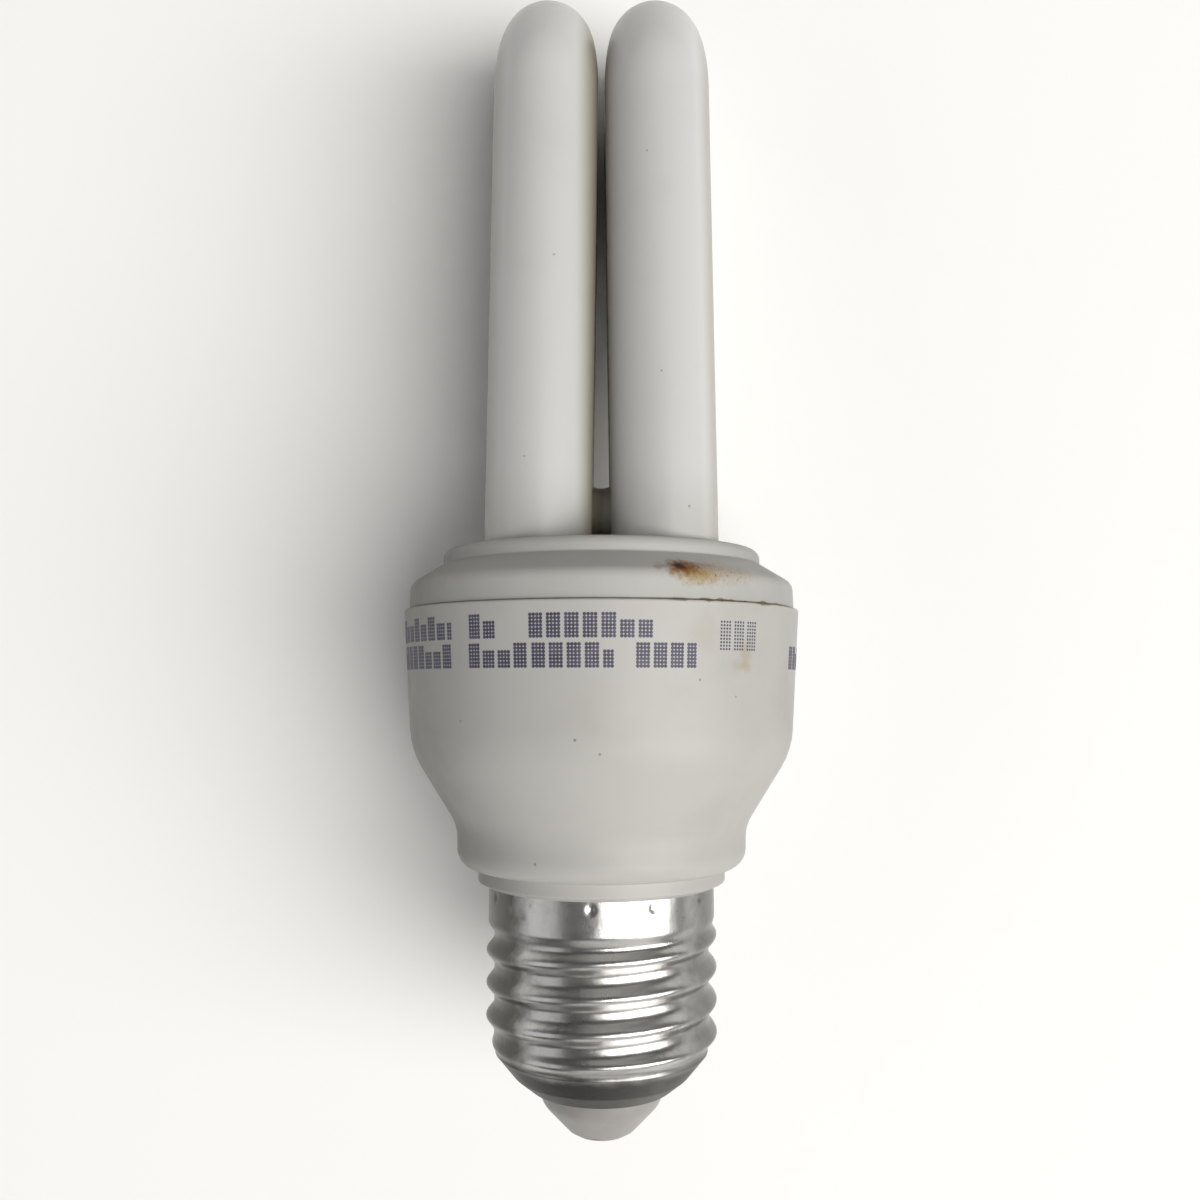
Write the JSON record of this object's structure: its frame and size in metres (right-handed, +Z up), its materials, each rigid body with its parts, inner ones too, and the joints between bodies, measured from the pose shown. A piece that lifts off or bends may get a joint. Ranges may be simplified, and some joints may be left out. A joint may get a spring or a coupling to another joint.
{
  "type": "compact fluorescent lamp with two U shaped tubes",
  "caption": "Screw-cap compact fluorescent lamp: two white U shaped glass tubes in a white plastic holder and housing, lying on its side.",
  "frame": {"origin": "middle of the bottom of the lamp's bounding box, as it lies on a flat surface", "axes": "+Z up from the surface it lies on, +Y towards the tube end, +X to the right seen from above with the tubes away from the viewer; the lamp's own axis lies in the YZ plane, 8.10 degrees below +Y at the tube end"},
  "size_m": [0.0454, 0.1304, 0.0461],
  "materials": {
    "tube_glass": "gloss",
    "white_plastic": "satin",
    "nickel_sheet": "polished",
    "insulator_ceramic": "satin",
    "contact_metal": "satin",
    "cement": "matte",
    "board": "matte",
    "component_black": "matte",
    "component_red": "satin",
    "component_tan": "satin",
    "ferrite": "matte",
    "capacitor_sleeve": "gloss",
    "copper_wire": "satin",
    "solder": "satin"
  },
  "bodies": {
    "root": {"ballast_housing": "white_plastic", "base_resistor_high": "component_tan", "base_resistor_low": "component_tan", "bulk_capacitor": "capacitor_sleeve", "centre_contact": "contact_metal", "centre_lead_wire": "copper_wire", "choke_bobbin": "component_black", "choke_core_lower": "ferrite", "choke_core_upper": "ferrite", "choke_winding": "copper_wire", "circuit_board": "board", "contact_insulator": "insulator_ceramic", "coupling_capacitor": "component_red", "diac": "component_tan", "discharge_tube": "tube_glass", "drive_toroid": "ferrite", "electrode_lead_1": "copper_wire", "electrode_lead_2": "copper_wire", "electrode_lead_3": "copper_wire", "electrode_lead_4": "copper_wire", "emitter_resistor_high": "component_tan", "emitter_resistor_low": "component_tan", "fuse_resistor": "component_tan", "lead_post_1": "copper_wire", "lead_post_2": "copper_wire", "lead_post_3": "copper_wire", "lead_post_4": "copper_wire", "rectifier_diode_1": "component_black", "rectifier_diode_2": "component_black", "rectifier_diode_3": "component_black", "rectifier_diode_4": "component_black", "resonant_capacitor": "component_red", "screw_shell": "nickel_sheet", "shell_lead_wire": "copper_wire", "snubber_capacitor": "component_tan", "solder_joints": "solder", "start_resistor": "component_tan", "starting_capacitor": "component_red", "toroid_windings": "copper_wire", "transistor_high": "component_black", "transistor_low": "component_black", "tube_cement": "cement", "tube_holder": "white_plastic"}
  },
  "joints": []
}
